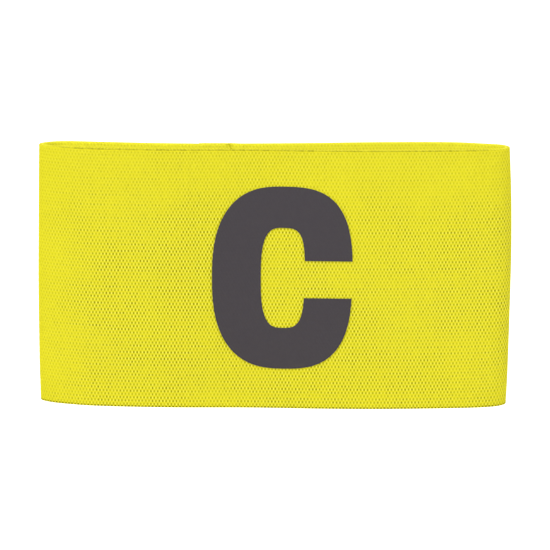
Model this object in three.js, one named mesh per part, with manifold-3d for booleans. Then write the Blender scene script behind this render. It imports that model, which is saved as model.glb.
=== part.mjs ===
// Captain's armband: one length of wide elastic webbing, lapped into a loop and standing on its
// lower edge, pressed nearly flat as it comes off the arm, with a plain block letter in thin film
// on its front.
//
// Millimetres, +Z up. +X runs along the flattened loop from its left fold to its right fold,
// and +Y from the front panel to the back panel. The origin is under the middle of the loop,
// on the surface that it stands on.

import * as THREE from 'three';
import { mergeVertices } from 'three/addons/utils/BufferGeometryUtils.js';
import Module from 'manifold-3d';

// Webbing
const webbingWidth = 75;
const webbingThickness = 1.4;
const rimRound = 0.3;

// Loop as it stands, seen from above
const flatWidth = 135.3;
const loopDepth = 18.9;
const leftFoldSwell = 0.5;
const rightFoldSwell = 0.95;

// Lap seam in the back panel
const lapLength = 9;
const lapOffset = -17.4;
const lapRamp = 3.4;
const cutEdge = 0.2;

// Letter film
const letterWidth = 40.3;
const letterHeight = 52.9;
const stemStroke = 14;
const armStroke = 13.6;
const topStroke = 11.9;
const mouthGap = 10.9;
const mouthDrop = 0.45;
const letterShift = 2.5;
const letterLift = 0.5;
const filmThickness = 0.3;
const filmClearance = 0.3;

// How squarely the letter's outline and its counter are rounded, on the stem's side and on the
// arms' side: 2 is an ellipse
const outlineSquareness = { stem: 2.55, arms: 2.95 };
const counterSquareness = { stem: 2.95, arms: 3.4 };

// Spacing of the sections along the loop, on the panels and round the folds, and of the letter's
// outline points
const panelStep = 3;
const foldStep = 1.2;
const foldZone = 0.86;
const letterSteps = 40;

// The loop's middle line from above, counter-clockwise from the left fold.
// across: share of half the loop's width, from its middle to the right
// depth: share of the loop's depth, from the left fold towards the back
const loopTable = [
  { across: -1.0, depth: 0.03 },
  { across: -0.975, depth: -0.13 },
  { across: -0.9, depth: -0.29 },
  { across: -0.75, depth: -0.45 },
  { across: -0.45, depth: -0.54 },
  { across: -0.1, depth: -0.53 },
  { across: 0.2, depth: -0.59 },
  { across: 0.45, depth: -0.6 },
  { across: 0.75, depth: -0.52 },
  { across: 0.9, depth: -0.44 },
  { across: 0.975, depth: -0.31 },
  { across: 1.0, depth: -0.1 },
  { across: 0.975, depth: 0.14 },
  { across: 0.9, depth: 0.26 },
  { across: 0.75, depth: 0.4 },
  { across: 0.45, depth: 0.36 },
  { across: 0.1, depth: 0.21 },
  { across: -0.25, depth: 0.13 },
  { across: -0.5, depth: 0.15 },
  { across: -0.75, depth: 0.27 },
  { across: -0.9, depth: 0.34 },
  { across: -0.975, depth: 0.23 },
];

// How the folds swell between the rims.
// height: share of the webbing's width, from the lower rim; left and right: shares of the swell
// of each fold
const swellTable = [
  { height: 0.12, left: 0.6, right: 0.4 },
  { height: 0.3, left: 0.85, right: 0.68 },
  { height: 0.45, left: 1.0, right: 0.88 },
  { height: 0.6, left: 0.78, right: 1.0 },
  { height: 0.75, left: 0.53, right: 0.88 },
  { height: 0.9, left: 0.26, right: 0.45 },
];

// The two faces of the wall along the lap, in webbing thicknesses from the middle line. The
// strip climbs over its own first end, lies on it, pressed together by the stitching, and stops.
// share: of half the lap's length; past: millimetres beyond it, both along the loop from the
// lap's middle; inner and outer: where the wall's faces lie
const lapTable = [
  { share: -1, past: -lapRamp, inner: -0.5, outer: 0.5 },
  { share: -1, past: -cutEdge, inner: -0.15, outer: 0.95 },
  { share: -1, past: 0, inner: -0.5, outer: 1.0 },
  { share: 0, past: 0, inner: -0.5, outer: 1.1 },
  { share: 1, past: 0, inner: -0.5, outer: 0.85 },
  { share: 1, past: cutEdge, inner: -0.5, outer: 0.5 },
];

const halfSpan = (flatWidth - webbingThickness) / 2;

const loopCurve = new THREE.CatmullRomCurve3(
  loopTable.map((row) => new THREE.Vector3(row.across * halfSpan, row.depth * loopDepth, 0)),
  true,
  'catmullrom',
  0.5,
);
loopCurve.arcLengthDivisions = 4000;
const loopLength = loopCurve.getLength();

// Middle-line point and outward direction at a distance along the loop
function loopFrame(distance) {
  const share = distance / loopLength;
  const point = loopCurve.getPointAt(share);
  const along = loopCurve.getTangentAt(share);
  const outward = new THREE.Vector3(along.y, -along.x, 0);
  return { distance, point, outward };
}

// Distance along the loop at which the back panel passes a place across it
function backDistanceAt(x) {
  let near = loopLength * 0.5;
  let far = loopLength;
  for (let halving = 0; halving < 40; halving += 1) {
    const middle = (near + far) / 2;
    const frame = loopFrame(middle);
    const stillBefore = frame.point.x > x;
    near = stillBefore ? middle : near;
    far = stillBefore ? far : middle;
  }
  return near;
}

const lapMiddle = backDistanceAt(lapOffset);
const lapStops = lapTable.map((row) => ({
  distance: lapMiddle + (row.share * lapLength) / 2 + row.past,
  inner: row.inner * webbingThickness,
  outer: row.outer * webbingThickness,
}));

// Where the wall's two faces lie at a distance along the loop, from the middle line outwards
function wallFaces(distance) {
  const next = lapStops.findIndex((stop) => stop.distance >= distance);
  if (next < 1) {
    const face = webbingThickness / 2;
    return { inner: -face, outer: face };
  }
  const before = lapStops[next - 1];
  const after = lapStops[next];
  const share = (distance - before.distance) / (after.distance - before.distance);
  return {
    inner: THREE.MathUtils.lerp(before.inner, after.inner, share),
    outer: THREE.MathUtils.lerp(before.outer, after.outer, share),
  };
}

// How far the middle line swells outwards: fully at a fold, not on the panels
function foldSwellAt(x, row) {
  const swell = x < 0 ? row.left * leftFoldSwell : row.right * rightFoldSwell;
  return swell * THREE.MathUtils.smoothstep(Math.abs(x) / halfSpan, foldZone, 1);
}

// Heights of a section's corners up the wall, with their shares of the two swells
const lowerRim = { height: 0, left: 0, right: 0 };
const upperRim = { height: webbingWidth, left: 0, right: 0 };
const wallRows = [
  { ...lowerRim, height: rimRound },
  ...swellTable.map((row) => ({ ...row, height: row.height * webbingWidth })),
  { ...upperRim, height: webbingWidth - rimRound },
];

// The sections along the loop: close together round the folds, and one at each stop of the lap
function sectionDistances() {
  const distances = lapStops.map((stop) => stop.distance);
  let distance = 0;
  while (distance < loopLength - foldStep / 2) {
    const share = Math.abs(loopFrame(distance).point.x) / halfSpan;
    if (distances.every((taken) => Math.abs(taken - distance) > foldStep / 2)) {
      distances.push(distance);
    }
    distance += share > foldZone ? foldStep : panelStep;
  }
  return distances.sort((one, other) => one - other);
}

const loopFrames = sectionDistances().map(loopFrame);

// A point of the wall: out from the middle line of a section, at a row's height
function wallPoint(frame, out, row) {
  const offset = out + foldSwellAt(frame.point.x, row);
  const point = frame.point.clone().addScaledVector(frame.outward, offset);
  return point.setZ(row.height);
}

// One section of the webbing: up its outer face, over the upper rim and down its inner face
function webbingSection(frame) {
  const { inner, outer } = wallFaces(frame.distance);
  const outside = wallRows.map((row) => wallPoint(frame, outer, row));
  const inside = wallRows.map((row) => wallPoint(frame, inner, row));
  return [
    wallPoint(frame, outer - rimRound, lowerRim),
    ...outside,
    wallPoint(frame, outer - rimRound, upperRim),
    wallPoint(frame, inner + rimRound, upperRim),
    ...inside.reverse(),
    wallPoint(frame, inner + rimRound, lowerRim),
  ];
}

// Skin over a row of sections, each with its second half running back beside its first.
// A closed row joins its last section to its first, and an open one gets a face at each end.
function loft(sections, closed) {
  const around = sections[0].length;
  const positions = sections.flat().flatMap((point) => point.toArray());
  const faces = [];
  const quad = (a, b, c, d) => faces.push(a, b, c, a, c, d);
  const strips = closed ? sections.length : sections.length - 1;
  for (let strip = 0; strip < strips; strip += 1) {
    const here = strip * around;
    const there = ((strip + 1) % sections.length) * around;
    for (let corner = 0; corner < around; corner += 1) {
      const next = (corner + 1) % around;
      quad(here + corner, there + corner, there + next, here + next);
    }
  }
  if (!closed) {
    const last = (sections.length - 1) * around;
    for (let corner = 0; corner < around / 2 - 1; corner += 1) {
      const across = around - 1 - corner;
      quad(corner, corner + 1, across - 1, across);
      quad(last + across, last + across - 1, last + corner + 1, last + corner);
    }
  }
  const geometry = new THREE.BufferGeometry();
  geometry.setAttribute('position', new THREE.Float32BufferAttribute(positions, 3));
  geometry.setIndex(faces);
  return geometry;
}

// A sheet of film over the front panel, a little wider than the letter, parallel to the webbing
function filmSheet() {
  const reach = letterWidth / 2 + panelStep;
  const covered = loopFrames.filter(
    (frame) => frame.outward.y < 0 && Math.abs(frame.point.x - letterShift) < reach + panelStep,
  );
  const under = webbingThickness / 2 + filmClearance;
  const over = under + filmThickness;
  const sections = covered.map((frame) => [
    ...wallRows.map((row) => wallPoint(frame, over, row)),
    ...wallRows.map((row) => wallPoint(frame, under, row)).reverse(),
  ]);
  return loft(sections, false);
}

// Points of a squared ellipse, from above the letter's mouth over the top, round the stem and
// back to below the mouth. stem, arms and rise are its reach to the left, right and up.
function letterCurve(stem, arms, rise, squareness) {
  const angleAt = (height) => Math.asin((height / rise) ** (squareness.arms / 2));
  const start = angleAt(mouthGap / 2 - mouthDrop);
  const end = 2 * Math.PI - angleAt(mouthGap / 2 + mouthDrop);
  const points = [];
  for (let step = 0; step <= letterSteps; step += 1) {
    const angle = THREE.MathUtils.lerp(start, end, step / letterSteps);
    const onStem = Math.cos(angle) < 0;
    const power = 2 / (onStem ? squareness.stem : squareness.arms);
    const across = Math.abs(Math.cos(angle)) ** power * (onStem ? -stem : arms);
    const up = Math.abs(Math.sin(angle)) ** power * Math.sign(Math.sin(angle)) * rise;
    points.push(new THREE.Vector2(across, up));
  }
  return points;
}

// The letter as a prism that runs forwards through the front panel
function letterPrism() {
  const halfWidth = letterWidth / 2;
  const halfHeight = letterHeight / 2;
  const outline = letterCurve(halfWidth, halfWidth, halfHeight, outlineSquareness);
  const counter = letterCurve(
    halfWidth - stemStroke,
    halfWidth - armStroke,
    halfHeight - topStroke,
    counterSquareness,
  );
  const shape = new THREE.Shape([...outline, ...counter.reverse()]);
  const geometry = new THREE.ExtrudeGeometry(shape, { depth: loopDepth, bevelEnabled: false });
  geometry.rotateX(Math.PI / 2);
  return geometry.translate(letterShift, 0, webbingWidth / 2 + letterLift);
}

const solids = await Module();
solids.setup();

// Closed solid of a geometry, for cutting
function solidOf(geometry) {
  const bare = geometry.clone();
  bare.deleteAttribute('normal');
  bare.deleteAttribute('uv');
  const merged = mergeVertices(bare);
  return new solids.Manifold(new solids.Mesh({
    numProp: 3,
    vertProperties: new Float32Array(merged.attributes.position.array),
    triVerts: new Uint32Array(merged.index.array),
  }));
}

// Geometry of a cut solid
function geometryOf(solid) {
  const mesh = solid.getMesh();
  const geometry = new THREE.BufferGeometry();
  geometry.setAttribute('position', new THREE.BufferAttribute(mesh.vertProperties, 3));
  geometry.setIndex(new THREE.BufferAttribute(mesh.triVerts, 1));
  return geometry;
}

const yellowWebbing = new THREE.MeshStandardMaterial({
  color: 0xe7de37,
  roughness: 0.85,
  metalness: 0,
});

const charcoalFilm = new THREE.MeshStandardMaterial({
  color: 0x4f4a4f,
  roughness: 0.6,
  metalness: 0,
});

const bandGeometry = loft(loopFrames.map(webbingSection), true);
const elasticBand = new THREE.Mesh(bandGeometry, yellowWebbing);
elasticBand.name = 'elastic_band';

const filmGeometry = geometryOf(solidOf(filmSheet()).intersect(solidOf(letterPrism())));
const captainLetter = new THREE.Mesh(filmGeometry, charcoalFilm);
captainLetter.name = 'captain_letter';

for (const mesh of [elasticBand, captainLetter]) {
  mesh.geometry.computeVertexNormals();
}

const armband = new THREE.Group();
armband.add(elasticBand, captainLetter);

// The origin moves to the middle of the space that the armband takes up
const middle = new THREE.Box3().setFromObject(armband).getCenter(new THREE.Vector3());
armband.position.set(-middle.x, -middle.y, 0);

export default armband;
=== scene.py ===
"""Looks of a captain's armband: a loop of woven elastic webbing with a film letter on its front.

Metres, in the row frame: +X along the flattened loop, +Y towards its back panel, +Z up.
"""

import math

import bmesh
import bpy
import numpy as np
from mathutils import Matrix, Vector


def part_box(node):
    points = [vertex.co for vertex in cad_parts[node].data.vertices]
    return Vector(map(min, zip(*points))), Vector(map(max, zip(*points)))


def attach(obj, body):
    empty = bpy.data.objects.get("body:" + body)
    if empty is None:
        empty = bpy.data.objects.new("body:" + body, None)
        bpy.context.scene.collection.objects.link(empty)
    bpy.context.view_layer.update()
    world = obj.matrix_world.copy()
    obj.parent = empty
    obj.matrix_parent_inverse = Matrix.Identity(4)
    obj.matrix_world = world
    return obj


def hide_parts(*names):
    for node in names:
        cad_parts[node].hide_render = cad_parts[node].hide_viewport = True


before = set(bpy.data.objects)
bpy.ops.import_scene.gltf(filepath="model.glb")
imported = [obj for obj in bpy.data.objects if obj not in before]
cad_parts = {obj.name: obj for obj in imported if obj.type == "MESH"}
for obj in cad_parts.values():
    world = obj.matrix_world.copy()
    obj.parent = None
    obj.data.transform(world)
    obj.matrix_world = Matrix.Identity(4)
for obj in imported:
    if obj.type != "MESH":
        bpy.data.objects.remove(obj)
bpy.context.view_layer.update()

MM = 0.001

# Webbing, as the solids have it
THICKNESS = 1.4 * MM
LEFT_SWELL = 0.5 * MM
RIGHT_SWELL = 0.95 * MM
FOLD_ZONE = 0.86
LAP_LENGTH = 9 * MM
LAP_OFFSET = -17.4 * MM
LAP_RAMP = 3.4 * MM

# The loop's middle line from above, counter-clockwise from the left fold: share of half the
# loop's width to the right of its middle, and share of its depth towards the back
LOOP_TABLE = [
    (-1.0, 0.03), (-0.975, -0.13), (-0.9, -0.29), (-0.75, -0.45), (-0.45, -0.54),
    (-0.1, -0.53), (0.2, -0.59), (0.45, -0.6), (0.75, -0.52), (0.9, -0.44), (0.975, -0.31),
    (1.0, -0.1), (0.975, 0.14), (0.9, 0.26), (0.75, 0.4), (0.45, 0.36), (0.1, 0.21),
    (-0.25, 0.13), (-0.5, 0.15), (-0.75, 0.27), (-0.9, 0.34), (-0.975, 0.23),
]

# How the folds swell between the rims: share of the height, and shares of the swell of the left
# and the right fold
SWELL_TABLE = [
    (0.0, 0.0, 0.0), (0.12, 0.6, 0.4), (0.3, 0.85, 0.68), (0.45, 1.0, 0.88),
    (0.6, 0.78, 1.0), (0.75, 0.53, 0.88), (0.9, 0.26, 0.45), (1.0, 0.0, 0.0),
]
SWELL_STEPS = 101
SWELL_BLUR = 13

# Weave: the strip has two columns of points for each pit along it, and one row of pits for
# each row of points up it, with every second row set half a pitch along
COLUMNS = 594
ROWS = 79
PIT_DEPTH = 0.22 * MM
PIT_VARIES = (0.75, 1.2)
UNEVENNESS = 0.02 * MM
RIM_ROUND = 0.15 * MM
RIM_CUTS = 3
LOOP_WAIST = 0.88
WANDER = 0.04 * MM
SEED = 11

# How thick each layer of the lap stays under the stitching, as a share of the webbing, how much
# thinner the two cut ends are pressed on their open side, and how far they fray
PRESSED = 0.8
LAYER_GAP = 0.03 * MM
END_PRESS = 0.7 * MM
END_TAPER = 0.9 * MM
FRAY = 0.15 * MM

# Letter: how square its curves are round the stem, the upper arm and the lower arm, its strokes,
# its mouth and its film
OUTLINE_SQUARENESS = (2.55, 3.0, 2.85)
COUNTER_SQUARENESS = (2.95, 3.75, 3.4)
STEM_STROKE = 14 * MM
ARM_STROKE = 13.6 * MM
TOP_STROKE = 11.9 * MM
MOUTH_GAP = 10.8 * MM
MOUTH_DROP = 0.37 * MM
LOWER_ARM_SHORTER = 0.18 * MM
LETTER_RAISE = 0.12 * MM
FILM_THICKNESS = 0.16 * MM
FILM_LIFT = 0.03 * MM
FILM_STEPS = 160
FILM_STRIPS = 14

# Thread through the lap, and the grooves that it pulls into the webbing
STITCH_LENGTH = 2.7 * MM
STITCH_PITCH = 3.1 * MM
THREAD = 0.42 * MM
THREAD_FLATNESS = 0.8
THREAD_SUNK = 0.18 * MM
STITCH_COUNT = 23
STITCH_ROWS = (1.9 * MM, 3.5 * MM, LAP_LENGTH - 3.5 * MM, LAP_LENGTH - 1.9 * MM)
STITCH_PULL = 0.22 * MM
STITCH_REACH = 0.55 * MM


def smooth_step(value):
    """0 below 0, 1 above 1, with a soft start and end between"""
    share = np.clip(value, 0, 1)
    return share * share * (3 - 2 * share)


class Loop:
    """The loop's middle line, with distances along it from the left fold"""

    def __init__(self, low, high):
        table = np.array(LOOP_TABLE)
        unit = self.curve(table)
        reach = high - low
        self.half_span = (reach.x - LEFT_SWELL - RIGHT_SWELL - THICKNESS) / 2
        self.middle = low.x + LEFT_SWELL + THICKNESS / 2 + self.half_span
        self.width = reach.z
        depth = (reach.y - THICKNESS) / np.ptp(unit[:, 1])
        self.datum = low.y + THICKNESS / 2 - unit[:, 1].min() * depth
        self.points = np.column_stack(
            [self.middle + unit[:, 0] * self.half_span, self.datum + unit[:, 1] * depth]
        )
        closed = np.vstack([self.points, self.points[:1]])
        steps = np.hypot(*np.diff(closed, axis=0).T)
        self.distances = np.concatenate([[0], np.cumsum(steps)])
        self.length = self.distances[-1]
        along = np.roll(self.points, -1, 0) - np.roll(self.points, 1, 0)
        along /= np.hypot(*along.T)[:, None]
        self.outward = np.column_stack([along[:, 1], -along[:, 0]])
        self.swells = [self.swell_profile(side) for side in (1, 2)]

    @staticmethod
    def swell_profile(side):
        """One fold's swell against the height, with the table's corners rounded off"""
        table = np.array(SWELL_TABLE)
        heights = np.linspace(0, 1, SWELL_STEPS)
        shares = np.interp(heights, table[:, 0], table[:, side])
        padded = np.pad(shares, SWELL_BLUR // 2, mode="reflect", reflect_type="odd")
        return heights, np.convolve(padded, np.ones(SWELL_BLUR) / SWELL_BLUR, "valid")

    @staticmethod
    def curve(table, per_span=120):
        """Points of a smooth closed curve through the table's"""
        before, here = np.roll(table, 1, 0), table
        after, beyond = np.roll(table, -1, 0), np.roll(table, -2, 0)
        share = (np.arange(per_span) / per_span)[None, :, None]
        points = (
            2 * here[:, None]
            + (after - before)[:, None] * share
            + (2 * before - 5 * here + 4 * after - beyond)[:, None] * share**2
            + (3 * here - before - 3 * after + beyond)[:, None] * share**3
        ) / 2
        return points.reshape(-1, 2)

    def at(self, distance):
        """Points of the middle line and outward directions at distances along it"""
        distance = np.asarray(distance) % self.length

        def between(values):
            closed = np.vstack([values, values[:1]])
            return np.column_stack(
                [np.interp(distance, self.distances, closed[:, axis]) for axis in (0, 1)]
            )

        outward = between(self.outward)
        return between(self.points), outward / np.hypot(*outward.T)[:, None]

    def back_distance(self, x):
        """Distance at which the back panel passes x"""
        right = self.points[:, 0].argmax()
        back = slice(right, None)
        return np.interp(-x, -self.points[back, 0], self.distances[:-1][back])

    def front_distance(self, x):
        """Distances at which the front panel passes each x"""
        front = slice(0, self.points[:, 0].argmax() + 1)
        return np.interp(x, self.points[front, 0], self.distances[:-1][front])

    def place(self, distance, up, out):
        """Points out from the middle line at distances along it, up the webbing"""
        points, outward = self.at(distance)
        across = (points[:, 0] - self.middle) / self.half_span
        fold = smooth_step((np.abs(across) - FOLD_ZONE) / (1 - FOLD_ZONE))
        left, right = (np.interp(up / self.width, *profile) for profile in self.swells)
        swell = fold * np.where(across < 0, LEFT_SWELL * left, RIGHT_SWELL * right)
        flat = points + outward * (out + swell)[:, None]
        return np.column_stack([flat, up])


band_low, band_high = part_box("elastic_band")
loop = Loop(band_low, band_high)
lap_start = loop.back_distance(LAP_OFFSET) - LAP_LENGTH / 2
strip_length = loop.length + LAP_LENGTH


def select_only(piece):
    """Selects one object alone and makes it active"""
    bpy.ops.object.select_all(action="DESELECT")
    piece.select_set(True)
    bpy.context.view_layer.objects.active = piece


def apply_modifier(piece, name, kind, **settings):
    """Adds a modifier and applies it"""
    select_only(piece)
    modifier = piece.modifiers.new(name, kind)
    for key, value in settings.items():
        setattr(modifier, key, value)
    bpy.ops.object.modifier_apply(modifier=name)


def points_of(piece):
    """A mesh's points as rows of x, y, z"""
    points = np.empty(len(piece.data.vertices) * 3)
    piece.data.vertices.foreach_get("co", points)
    return points.reshape(-1, 3)


def move_points(piece, points):
    """Gives a mesh's points new places"""
    piece.data.vertices.foreach_set("co", points.ravel())
    piece.data.update()


def corner_points(piece):
    """For each face corner, the index of its point"""
    corners = np.empty(len(piece.data.loops), int)
    piece.data.loops.foreach_get("vertex_index", corners)
    return corners


def corner_faces(piece):
    """For each face corner, the index of its face"""
    totals = np.empty(len(piece.data.polygons), int)
    piece.data.polygons.foreach_get("loop_total", totals)
    return np.repeat(np.arange(len(totals)), totals)


def add_map(piece, name, places):
    """Adds a UV map from one place for each face corner"""
    layer = piece.data.uv_layers.new(name=name)
    layer.data.foreach_set("uv", np.ascontiguousarray(places, float).ravel())


def flat_strip():
    """The webbing as cut: X along it, Y up it, Z through it towards its outer face"""
    bpy.ops.object.select_all(action="DESELECT")
    bpy.ops.mesh.primitive_grid_add(
        x_subdivisions=COLUMNS,
        y_subdivisions=ROWS,
        size=1,
        location=(strip_length / 2, loop.width / 2, 0),
        calc_uvs=False,
    )
    strip = bpy.context.object
    strip.name = "woven_band"
    strip.scale = (strip_length, loop.width, 1)
    bpy.ops.object.transform_apply(location=True, rotation=False, scale=True)
    apply_modifier(strip, "Wall", "SOLIDIFY", thickness=THICKNESS, offset=0)
    split_rims(strip)
    return strip


def split_rims(strip):
    """Cuts the faces of the two rims into four across the webbing's thickness"""
    mesh = strip.data
    points = points_of(strip)
    edges = np.empty(len(mesh.edges) * 2, int)
    mesh.edges.foreach_get("vertices", edges)
    first, second = points[edges.reshape(-1, 2)].transpose(1, 0, 2)
    edge = loop.width / ROWS / 2
    on_rim = (first[:, 1] < edge) | (first[:, 1] > loop.width - edge)
    through = np.abs(first[:, 2] - second[:, 2]) > THICKNESS / 2
    select_only(strip)
    bpy.ops.object.mode_set(mode="EDIT")
    bpy.ops.mesh.select_mode(type="EDGE")
    bpy.ops.mesh.select_all(action="DESELECT")
    bpy.ops.object.mode_set(mode="OBJECT")
    mesh.edges.foreach_set("select", on_rim & through)
    bpy.ops.object.mode_set(mode="EDIT")
    bpy.ops.mesh.subdivide(number_cuts=RIM_CUTS)
    bpy.ops.object.mode_set(mode="OBJECT")


def lattice_of(points):
    """Column, row and whether each point of the flat strip lies in a pit"""
    column = np.rint(points[:, 0] / strip_length * COLUMNS).astype(int)
    row = np.rint(points[:, 1] / loop.width * ROWS).astype(int)
    return column, row, (column + row) % 2 == 0


def join_ribs(strip):
    """Splits each face between two pits, so that the ribs run on as a net of diagonals"""
    _, _, pit = lattice_of(points_of(strip))
    mesh = bmesh.new()
    mesh.from_mesh(strip.data)
    mesh.verts.ensure_lookup_table()
    ribs = [mesh.verts[index] for index in np.flatnonzero(~pit)]
    bmesh.ops.connect_verts(mesh, verts=ribs)
    bmesh.ops.triangulate(mesh, faces=[face for face in mesh.faces if len(face.verts) > 3])
    mesh.to_mesh(strip.data)
    mesh.free()


def map_weave(strip):
    """Weave map, in pit pitches along and rows up, and a map that lays both faces out flat.

    The weave map runs backwards, below 0, on the inner face and the inner half of the rims.
    """
    points = points_of(strip)
    column, row, _ = lattice_of(points)
    corners = corner_points(strip)
    faces = corner_faces(strip)
    along, up, out = points[corners].T
    count = np.bincount(faces)
    behind = (np.bincount(faces, out) < 0)[faces]
    pitches = np.where(behind, -1, 1) * column[corners] / 2
    add_map(strip, "Weave", np.column_stack([pitches, row[corners]]))

    face_along = np.bincount(faces, along) / count
    face_up = np.bincount(faces, up) / count
    face_out = np.bincount(faces, out) / count
    on_rim = np.abs(face_out) < THICKNESS * 0.49
    inside = ((face_out < 0) & ~on_rim)[faces]
    depth_down = THICKNESS / 2 - out
    row_quarter = loop.width / ROWS / 4
    column_quarter = strip_length / COLUMNS / 4
    low_rim = (on_rim & (face_up < row_quarter))[faces]
    high_rim = (on_rim & (face_up > loop.width - row_quarter))[faces]
    first_cut = (on_rim & (face_along < column_quarter))[faces]
    last_cut = (on_rim & (face_along > strip_length - column_quarter))[faces]
    up = up - np.where(low_rim, depth_down, 0) + np.where(high_rim, depth_down, 0)
    along = along - np.where(first_cut, depth_down, 0) + np.where(last_cut, depth_down, 0)

    margin = 2 * THICKNESS
    third = strip_length / 3
    block = np.clip((face_along / third).astype(int), 0, 2)[faces]
    tall = 3 * (loop.width + 2 * margin)
    across = margin + along - block * third + inside * (third + 2 * margin)
    high = margin + up + block * (loop.width + 2 * margin)
    add_map(strip, "OFBake", np.column_stack([across, high]) / tall)


def lap_layers(along):
    """How far out the webbing's middle lies, and how thick it stays, along the strip.

    The strip starts as the lap's inner layer and ends as its outer one, lying on the first.
    """
    under = 1 - smooth_step((along - LAP_LENGTH) / LAP_RAMP)
    over = smooth_step((along - loop.length) / LAP_RAMP + 1)
    thickness = 1 - (1 - PRESSED) * np.maximum(under, over)
    inner = -(1 - PRESSED) / 2
    outer = inner + PRESSED + LAYER_GAP / THICKNESS
    return THICKNESS * (inner * under + outer * over), thickness


def shape_webbing(strip):
    """Presses the pits, rims, cut ends and stitch lines into the strip and wraps it round"""
    points = points_of(strip)
    column, row, pit = lattice_of(points)
    along, up, out = points.T.copy()
    side = np.sign(np.rint(out / THICKNESS * 4))
    chance = np.random.default_rng(SEED)
    inner = (row > 0) & (row < ROWS)
    rim = ~inner

    # The lap's first layer lies open on its inner face, and its last one on its outer face
    first_open = side < 0
    last_open = side > 0

    depth = np.where(pit, PIT_DEPTH, 0) * chance.uniform(*PIT_VARIES, len(points))
    depth += chance.uniform(0, UNEVENNESS, len(points))
    depth[rim] = 0
    for end, facing in ((0, first_open), (strip_length, last_open)):
        near = np.exp(-(((along - end) / END_TAPER) ** 2)) * np.abs(out) / (THICKNESS / 2)
        depth += np.where(facing, END_PRESS * near, 0)

    share = np.abs(out[rim]) / (THICKNESS / 2)
    bend = share * math.pi / 2
    flat = (THICKNESS / 2 - RIM_ROUND) * np.minimum(1, 2 * share)
    waist = np.where(pit[rim], LOOP_WAIST, 1)
    out[rim] = side[rim] * (flat + RIM_ROUND * np.sin(bend)) * waist
    inset = RIM_ROUND * (1 - np.cos(bend))
    up[rim] += np.where(row[rim] == 0, inset, -inset)
    up[inner] += chance.uniform(-WANDER, WANDER, inner.sum())
    along += chance.uniform(-WANDER, WANDER, len(points))
    cut = (column == 0) | (column == COLUMNS)
    along[cut] += chance.uniform(-FRAY, FRAY, cut.sum())
    depth[cut] += FRAY

    for start, facing in ((0, first_open), (loop.length, last_open)):
        for line in STITCH_ROWS:
            pull = np.exp(-(((along - start - line) / STITCH_REACH) ** 2))
            depth += np.where(facing & inner, STITCH_PULL * pull, 0)

    middle, thickness = lap_layers(along)
    out = (out - side * depth) * thickness + middle
    move_points(strip, loop.place(lap_start + along, up, out))


def woven_band():
    """The whole loop of webbing"""
    strip = flat_strip()
    join_ribs(strip)
    map_weave(strip)
    shape_webbing(strip)
    select_only(strip)
    bpy.ops.object.shade_smooth()
    return strip


def letter_curve(stem, arms, rise, squareness, steps):
    """Points of a squared ellipse from above the letter's mouth, round the stem to below it"""
    stem_square, upper_square, lower_square = squareness
    first = math.asin(((MOUTH_GAP / 2 - MOUTH_DROP) / rise) ** (upper_square / 2))
    last = 2 * math.pi - math.asin(((MOUTH_GAP / 2 + MOUTH_DROP) / rise) ** (lower_square / 2))
    angle = np.linspace(first, last, steps)
    parts = [np.cos(angle) < 0, np.sin(angle) > 0]
    power = 2 / np.select(parts, [stem_square, upper_square], lower_square)
    reach = np.select(parts, [-stem, arms], arms - LOWER_ARM_SHORTER)
    across = np.abs(np.cos(angle)) ** power * reach
    up = np.abs(np.sin(angle)) ** power * np.sign(np.sin(angle)) * rise
    return np.column_stack([across, up])


def film_letter():
    """The letter's film, laid out as one long grid bent round from arm to arm"""
    low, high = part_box("captain_letter")
    middle = (low + high) / 2
    size = high - low
    bpy.ops.object.select_all(action="DESELECT")
    bpy.ops.mesh.primitive_grid_add(
        x_subdivisions=FILM_STEPS,
        y_subdivisions=FILM_STRIPS,
        size=1,
        location=(0.5, 0.5, 0),
        calc_uvs=False,
    )
    film = bpy.context.object
    film.name = "letter_film"
    bpy.ops.object.transform_apply(location=True, rotation=False, scale=False)
    half_width = size.x / 2
    half_height = size.z / 2
    outline = letter_curve(
        half_width,
        half_width,
        half_height,
        OUTLINE_SQUARENESS,
        FILM_STEPS + 1,
    )
    counter = letter_curve(
        half_width - STEM_STROKE,
        half_width - ARM_STROKE,
        half_height - TOP_STROKE,
        COUNTER_SQUARENESS,
        FILM_STEPS + 1,
    )
    grid = points_of(film)
    step = np.rint(grid[:, 0] * FILM_STEPS).astype(int)
    share = grid[:, 1][:, None]
    face = outline[step] * (1 - share) + counter[step] * share
    distance = loop.front_distance(middle.x + face[:, 0])
    up = middle.z + LETTER_RAISE + face[:, 1]
    lift = np.full(len(up), THICKNESS / 2 + FILM_LIFT)
    move_points(film, loop.place(distance, up, lift))

    corners = corner_points(film)
    strip_place = (distance - lap_start) % loop.length / strip_length * COLUMNS / 2
    rows = up / loop.width * ROWS
    add_map(film, "Weave", np.column_stack([strip_place, rows])[corners])
    return film


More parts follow.
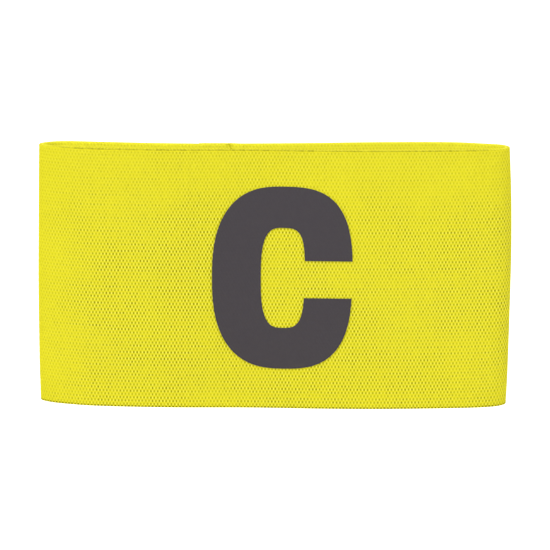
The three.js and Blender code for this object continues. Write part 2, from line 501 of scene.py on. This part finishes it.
def stitch_threads():
    """Rows of thread through both layers of the lap, on its outer and inner face"""
    bpy.ops.object.select_all(action="DESELECT")
    bpy.ops.mesh.primitive_uv_sphere_add(segments=8, ring_count=8, radius=0.5)
    thread = bpy.context.object
    thread.scale = (THREAD, THREAD * THREAD_FLATNESS, STITCH_LENGTH)
    bpy.ops.object.transform_apply(location=False, rotation=False, scale=True)
    apply_modifier(
        thread,
        "Row",
        "ARRAY",
        count=STITCH_COUNT,
        use_relative_offset=False,
        use_constant_offset=True,
        constant_offset_displace=(0, 0, STITCH_PITCH),
    )
    first = (loop.width - (STITCH_COUNT - 1) * STITCH_PITCH) / 2
    outer_face = THICKNESS * (2 * PRESSED - 0.5)
    inner_face = -THICKNESS / 2
    rows = []
    for line in STITCH_ROWS:
        for out in (outer_face - THREAD_SUNK, inner_face + THREAD_SUNK):
            spot, outward = loop.at([lap_start + line])
            row = thread.copy()
            row.data = thread.data.copy()
            bpy.context.collection.objects.link(row)
            turn = Matrix.Rotation(math.atan2(outward[0, 1], outward[0, 0]) - math.pi / 2, 4, "Z")
            flat = spot[0] + outward[0] * out
            row.data.transform(Matrix.Translation((flat[0], flat[1], first)) @ turn)
            rows.append(row)
    bpy.data.objects.remove(thread)
    select_only(rows[0])
    for row in rows:
        row.select_set(True)
    bpy.ops.object.join()
    threads = bpy.context.object
    threads.name = "lap_stitching"
    bpy.ops.object.shade_smooth()
    return threads


# Materials

# Painted marks of the weave, in pitches along and rows up: half the width and height of a pit,
# and where each mark begins and where it is full. The pits and the gaps of the lower selvedge get
# painted shade, the ribs' high spots a painted highlight, and a line under the upper rim a
# painted shade line
PIT_WIDE = 0.24
PIT_TALL = 0.36
PIT_EDGE = (1.5, 0.35)
RIB_HIGHLIGHT_EDGE = (-0.1, -0.9)
GAP_HEIGHT = 0.33
GAP_EDGE = (0.36, 0.12)
GAP_SIDE = (0.36, 0.14)
RIM_SHADE_EDGE = (0.32, 0.12)

# Where the painted shade of the pits and the painted shade line under the upper rim grow fainter,
# as where more light reaches them: the axis (0 along the loop, 2 up it), where the fade starts
# and ends in metres, and the strength at its start and end
PIT_SHADE_FADES = [
    (0, -0.0695, -0.048, 0.36, 1.0),
    (0, -0.068, -0.0655, 0.25, 1.0),
    (0, -0.01, 0.025, 1.0, 0.9),
    (2, 0.078, 0.043, 0.36, 1.0),
    (2, 0.0, 0.016, 0.82, 1.0),
]
RIM_SHADE_FADES = [
    (0, -0.067, -0.056, 0.0, 1.0),
    (0, 0.066, 0.056, 0.0, 1.0),
]

# How far the bumps of each material stand out
WEBBING_BUMP = 0.08 * MM
FILM_BUMP = 0.03 * MM
THREAD_BUMP = 0.05 * MM


def add_node(tree, kind, *values, **settings):
    """Adds a node, and sets or links its inputs in their order"""
    made = tree.nodes.new(kind)
    for key, value in settings.items():
        setattr(made, key, value)
    for socket, value in zip(made.inputs, values):
        if isinstance(value, bpy.types.NodeSocket):
            tree.links.new(value, socket)
        elif value is not None:
            socket.default_value = value
    return made


def calculate(tree, operation, *values):
    """Adds a Math node and gives its result"""
    return add_node(tree, "ShaderNodeMath", *values, operation=operation).outputs[0]


def ease(tree, value, start, end, low=0.0, high=1.0):
    """Goes smoothly from low to high as the value goes from start to end"""
    ranged = add_node(
        tree,
        "ShaderNodeMapRange",
        value,
        start,
        end,
        low,
        high,
        interpolation_type="SMOOTHSTEP",
    )
    return ranged.outputs[0]


def noise(tree, place, scale, detail, roughness):
    """Adds a noise texture and gives its values"""
    made = add_node(tree, "ShaderNodeTexNoise", place, None, scale, detail, roughness)
    return made.outputs[0]


def mix_colours(tree, share, first, second):
    """Mixes two colours"""
    mixed = tree.nodes.new("ShaderNodeMix")
    mixed.data_type = "RGBA"
    sockets = (mixed.inputs[0], mixed.inputs[6], mixed.inputs[7])
    for socket, value in zip(sockets, (share, first, second)):
        if isinstance(value, bpy.types.NodeSocket):
            tree.links.new(value, socket)
        else:
            socket.default_value = value
    return mixed.outputs[2]


def screen_colour(red, green, blue):
    """A colour given as it shows on a screen, 0 to 255, for a colour socket"""
    channels = []
    for channel in (red, green, blue):
        share = channel / 255
        low = share <= 0.04045
        channels.append(share / 12.92 if low else ((share + 0.055) / 1.055) ** 2.4)
    return (*channels, 1.0)


GROUND_YELLOW = screen_colour(236, 227, 44)
PATCH_YELLOW = screen_colour(231, 222, 40)
# Painted light: a lighter yellow for the inner face
INNER_PAINTED_LIGHT_YELLOW = screen_colour(247, 241, 62)
# Painted highlight of the ribs' high spots
RIB_HIGHLIGHT_YELLOW = screen_colour(255, 250, 106)
# Painted shade in the pits
PIT_SHADE_OLIVE = screen_colour(155, 149, 0)
# Painted shade in the lower selvedge's gaps and in the line under the upper rim
EDGE_SHADE_OLIVE = screen_colour(120, 114, 0)
FILM_DARK = screen_colour(65, 60, 65)
FILM_LIGHT = screen_colour(69, 64, 69)
THREAD_DARK = screen_colour(214, 204, 34)
THREAD_LIGHT = screen_colour(244, 235, 66)
PAPER_DARK = (0.64, 0.64, 0.64, 1.0)
PAPER_LIGHT = (0.68, 0.68, 0.68, 1.0)


def start_group(name, inputs, outputs):
    """An empty node group with number inputs and outputs"""
    group = bpy.data.node_groups.new(name, "ShaderNodeTree")
    for label in inputs:
        group.interface.new_socket(label, in_out="INPUT", socket_type="NodeSocketFloat")
    for label in outputs:
        group.interface.new_socket(label, in_out="OUTPUT", socket_type="NodeSocketFloat")
    return group, group.nodes.new("NodeGroupInput"), group.nodes.new("NodeGroupOutput")


def pit_lattice():
    """Group: the weave's pits and ribs at a place on the weave map.

    Pit and Rib highlight are masks of the pits, where painted shade goes, and of the ribs' high
    spots between them, where a painted highlight goes; Chance and Row chance are random for each
    pit and row; Lower selvedge shade is a mask of painted shade in the gaps between the loops of
    the lower selvedge, Rim shade line a mask of a painted shade line under the upper one, and
    Outer is 1 on the outer face.
    """
    outputs = ["Pit", "Rib highlight", "Chance", "Row chance", "Lower selvedge shade", "Rim shade line", "Outer"]
    group, given, result = start_group("Pit lattice", ["Along", "Up"], outputs)
    along, up = given.outputs[0], given.outputs[1]
    row = calculate(group, "ROUND", up)
    shifted = calculate(group, "MULTIPLY_ADD", row, 0.5, along)
    column = calculate(group, "ROUND", shifted)
    sideways = calculate(group, "SUBTRACT", shifted, column)
    upwards = calculate(group, "SUBTRACT", up, row)

    wide = calculate(group, "DIVIDE", sideways, PIT_WIDE)
    tall = calculate(group, "DIVIDE", upwards, PIT_TALL)
    square = calculate(group, "MULTIPLY", wide, wide)
    reach = calculate(group, "SQRT", calculate(group, "MULTIPLY_ADD", tall, tall, square))
    pit = ease(group, reach, *PIT_EDGE)

    # Mask for the painted highlight on the ribs' high spots between the pits
    swing = calculate(group, "COSINE", calculate(group, "MULTIPLY", sideways, 2 * math.pi))
    rise = calculate(group, "COSINE", calculate(group, "MULTIPLY", upwards, math.pi))
    rib_highlight = ease(group, calculate(group, "MULTIPLY", swing, rise), *RIB_HIGHLIGHT_EDGE)

    cell = add_node(group, "ShaderNodeCombineXYZ", column, row)
    chance = add_node(group, "ShaderNodeTexWhiteNoise", cell.outputs[0], noise_dimensions="2D")
    row_chance = add_node(group, "ShaderNodeTexWhiteNoise", None, row, noise_dimensions="1D")
    outer = calculate(group, "GREATER_THAN", along, 0.0)
    # Mask for painted shade in the gaps between the loops of the lower selvedge
    between = ease(group, calculate(group, "ABSOLUTE", sideways), *GAP_SIDE)
    from_edge = calculate(group, "ABSOLUTE", calculate(group, "SUBTRACT", up, GAP_HEIGHT))
    gap_shade = calculate(group, "MULTIPLY", ease(group, from_edge, *GAP_EDGE), between)
    # Mask for a painted shade line just under the upper rim, on the outer face only
    from_top = calculate(group, "SUBTRACT", float(ROWS), up)
    rim_shade_line = calculate(group, "MULTIPLY", ease(group, from_top, *RIM_SHADE_EDGE), outer)
    values = (pit, rib_highlight, chance.outputs[0], row_chance.outputs[0], gap_shade, rim_shade_line, outer)
    for value, socket in zip(values, result.inputs):
        group.links.new(value, socket)
    return group


def start_material(name, roughness, specular=0.5):
    """A material with its Principled shader"""
    material = bpy.data.materials.new(name)
    material.use_nodes = True
    shader = material.node_tree.nodes["Principled BSDF"]
    shader.inputs["Roughness"].default_value = roughness
    shader.inputs["Specular IOR Level"].default_value = specular
    return material, material.node_tree, shader


def weave_place(tree):
    """Along and up on the weave map"""
    place = add_node(tree, "ShaderNodeUVMap", uv_map="Weave")
    parts = add_node(tree, "ShaderNodeSeparateXYZ", place.outputs[0])
    return place.outputs[0], parts.outputs[0], parts.outputs[1]


def yarn_bump(tree, place, height, distance):
    """Normals from the pits and the fine filaments of the yarn"""
    stretched = add_node(tree, "ShaderNodeMapping", place, (0, 0, 0), (0, 0, 0), (6.0, 2.2, 1.0))
    yarn = noise(tree, stretched.outputs[0], 1.0, 3.0, 0.6)
    joined = calculate(tree, "MULTIPLY_ADD", yarn, 0.35, height)
    bump = add_node(tree, "ShaderNodeBump", 1.0, distance)
    tree.links.new(joined, bump.inputs["Height"])
    return bump.outputs[0]


def product(tree, *values):
    """Multiplies values together"""
    total = values[0]
    for value in values[1:]:
        total = calculate(tree, "MULTIPLY", total, value)
    return total


def fades(tree, axes, table):
    """The values of a table of fades at a place"""
    return [ease(tree, axes.outputs[axis], *fade) for axis, *fade in table]


def webbing_material(lattice):
    """Bright yellow woven elastic, with painted shade in pits, gaps and under the top rim,
    painted rib highlights and a painted lighter inner face
    """
    material, tree, shader = start_material("Yellow elastic webbing", 0.9, 0.04)
    place, along, up = weave_place(tree)
    pits = add_node(tree, "ShaderNodeGroup", along, up, node_tree=lattice)
    pit, rib_highlight, chance, row_chance, gap_shade, rim_shade_line, outer = pits.outputs

    spot = add_node(tree, "ShaderNodeTexCoord").outputs["Object"]
    patches = noise(tree, spot, 70.0, 2.0, 0.5)
    axes = add_node(tree, "ShaderNodeSeparateXYZ", spot)
    # Strength of the painted shade in the pits and of the painted highlight on the ribs: random
    # for each pit, row and patch, fainter where the fades leave more light, and half as strong on
    # the inner face
    strength = product(
        tree,
        calculate(tree, "MULTIPLY_ADD", chance, 0.5, 0.5),
        calculate(tree, "MULTIPLY_ADD", row_chance, 0.35, 0.8),
        ease(tree, patches, 0.3, 0.65, 0.75, 1.15),
        *fades(tree, axes, PIT_SHADE_FADES),
        calculate(tree, "MULTIPLY_ADD", outer, 0.5, 0.5),
    )
    outside = mix_colours(tree, patches, GROUND_YELLOW, PATCH_YELLOW)
    # Painted light: the inner face is painted a lighter yellow, standing in for light that the
    # inside of the loop doesn't get
    ground_and_inner_light = mix_colours(tree, outer, INNER_PAINTED_LIGHT_YELLOW, outside)
    # Painted highlight on the ribs' high spots
    rib_highlighted = mix_colours(tree, product(tree, rib_highlight, strength), ground_and_inner_light, RIB_HIGHLIGHT_YELLOW)
    # Painted shade in the pits
    woven = mix_colours(tree, product(tree, pit, strength), rib_highlighted, PIT_SHADE_OLIVE)
    # Painted shade in the gaps of the lower selvedge
    lower_edge_shaded = mix_colours(tree, product(tree, gap_shade, 0.85), woven, EDGE_SHADE_OLIVE)
    # Painted shade line just under the upper rim of the outer face
    rim_shade_share = product(
        tree,
        rim_shade_line,
        calculate(tree, "MULTIPLY_ADD", chance, 0.28, 0.26),
        *fades(tree, axes, RIM_SHADE_FADES),
    )
    rim_shaded = mix_colours(tree, rim_shade_share, lower_edge_shaded, EDGE_SHADE_OLIVE)
    tree.links.new(rim_shaded, shader.inputs["Base Color"])
    height = calculate(tree, "SUBTRACT", 1.0, pit)
    tree.links.new(yarn_bump(tree, place, height, WEBBING_BUMP), shader.inputs["Normal"])
    return material


def film_material(lattice):
    """Matt charcoal film that shows the weave under it faintly"""
    material, tree, shader = start_material("Charcoal letter film", 0.62, 0.3)
    place, along, up = weave_place(tree)
    pits = add_node(tree, "ShaderNodeGroup", along, up, node_tree=lattice)
    spot = add_node(tree, "ShaderNodeTexCoord").outputs["Object"]
    grain = noise(tree, spot, 900.0, 2.0, 0.5)
    colour = mix_colours(tree, grain, FILM_DARK, FILM_LIGHT)
    tree.links.new(colour, shader.inputs["Base Color"])
    height = calculate(tree, "MULTIPLY", pits.outputs[0], -0.35)
    tree.links.new(yarn_bump(tree, place, height, FILM_BUMP), shader.inputs["Normal"])
    return material


def thread_material():
    """Polyester thread, twisted, in the webbing's yellow"""
    material, tree, shader = start_material("Yellow thread", 0.6)
    shader.inputs["Sheen Weight"].default_value = 0.1
    spot = add_node(tree, "ShaderNodeTexCoord").outputs["Object"]
    twist = add_node(tree, "ShaderNodeMapping", spot, (0, 0, 0), (0.5, 0.4, 0), (1, 1, 1))
    ply = add_node(tree, "ShaderNodeTexWave", twist.outputs[0], 1500.0, 0.4)
    colour = mix_colours(tree, ply.outputs[1], THREAD_DARK, THREAD_LIGHT)
    tree.links.new(colour, shader.inputs["Base Color"])
    bump = add_node(tree, "ShaderNodeBump", 0.6, THREAD_BUMP)
    tree.links.new(ply.outputs[1], bump.inputs["Height"])
    tree.links.new(bump.outputs[0], shader.inputs["Normal"])
    return material


# Stage

CAMERA_DISTANCE = 1.0
CAMERA_HEIGHT = 0.2125
CAMERA_SHIFT = 0.41 * MM
AIM_HEIGHT = 0.03702
LENS = 229.7
ROLL = math.radians(0.246)

# Soft studio lights: degrees to the right of the camera that the light comes from, degrees up,
# how wide it looks in degrees, and its strength
SKY_STRENGTH = 0.26
LAMPS = [
    ("key", -45, 40, 60, 2.17),
    ("fill", 60, 30, 70, 1.4),
    ("back", 170, 25, 60, 1.7),
]


def floor_material():
    """Pale matt paper, over-exposed to plain white where the camera sees it"""
    material, tree, shader = start_material("Pale paper", 0.9, 0.1)
    spot = add_node(tree, "ShaderNodeTexCoord").outputs["Object"]
    fibre = noise(tree, spot, 300.0, 3.0, 0.6)
    colour = mix_colours(tree, fibre, PAPER_DARK, PAPER_LIGHT)
    tree.links.new(colour, shader.inputs["Base Color"])
    shader.inputs["Emission Color"].default_value = (1.0, 1.0, 1.0, 1.0)
    seen = add_node(tree, "ShaderNodeLightPath").outputs["Is Camera Ray"]
    tree.links.new(seen, shader.inputs["Emission Strength"])
    return material


def set_stage():
    """Floor, lights and camera"""
    bpy.ops.object.select_all(action="DESELECT")
    bpy.ops.mesh.primitive_plane_add(size=8, location=(0, 0, 0))
    floor = bpy.context.object
    floor.name = "floor"
    floor.data.materials.append(floor_material())

    world = bpy.data.worlds.new("Studio")
    bpy.context.scene.world = world
    world.use_nodes = True
    sky = world.node_tree.nodes["Background"]
    sky.inputs[0].default_value = (1.0, 1.0, 1.0, 1.0)
    sky.inputs[1].default_value = SKY_STRENGTH

    for name, right, above, width, strength in LAMPS:
        lamp = bpy.data.lights.new(name, "SUN")
        lamp.angle = math.radians(width)
        lamp.energy = strength
        holder = bpy.data.objects.new(name, lamp)
        tilt = Matrix.Rotation(math.radians(90 - above), 3, "X")
        turn = Matrix.Rotation(math.radians(right), 3, "Z")
        holder.rotation_euler = (turn @ tilt).to_euler()
        bpy.context.collection.objects.link(holder)

    camera = bpy.data.cameras.new("view")
    camera.lens = LENS
    camera.clip_end = 20
    holder = bpy.data.objects.new("view", camera)
    foot = Vector((loop.middle + CAMERA_SHIFT, loop.datum, 0))
    eye = foot + Vector((0, -CAMERA_DISTANCE, CAMERA_HEIGHT))
    look = foot + Vector((0, 0, AIM_HEIGHT)) - eye
    holder.location = eye
    turned = look.to_track_quat("-Z", "Y").to_matrix() @ Matrix.Rotation(ROLL, 3, "Z")
    holder.rotation_euler = turned.to_euler()
    bpy.context.collection.objects.link(holder)
    bpy.context.scene.camera = holder
    bpy.context.scene.view_settings.view_transform = "Standard"


lattice = pit_lattice()

band = woven_band()
band.data.materials.append(webbing_material(lattice))
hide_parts("elastic_band")

letter = film_letter()
apply_modifier(letter, "Film", "SOLIDIFY", thickness=FILM_THICKNESS, offset=1)
letter.data.materials.append(film_material(lattice))
select_only(letter)
bpy.ops.object.shade_smooth_by_angle(angle=math.radians(40))
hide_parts("captain_letter")

threads = stitch_threads()
threads.data.materials.append(thread_material())

for piece in (band, letter, threads):
    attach(piece, "root")

set_stage()
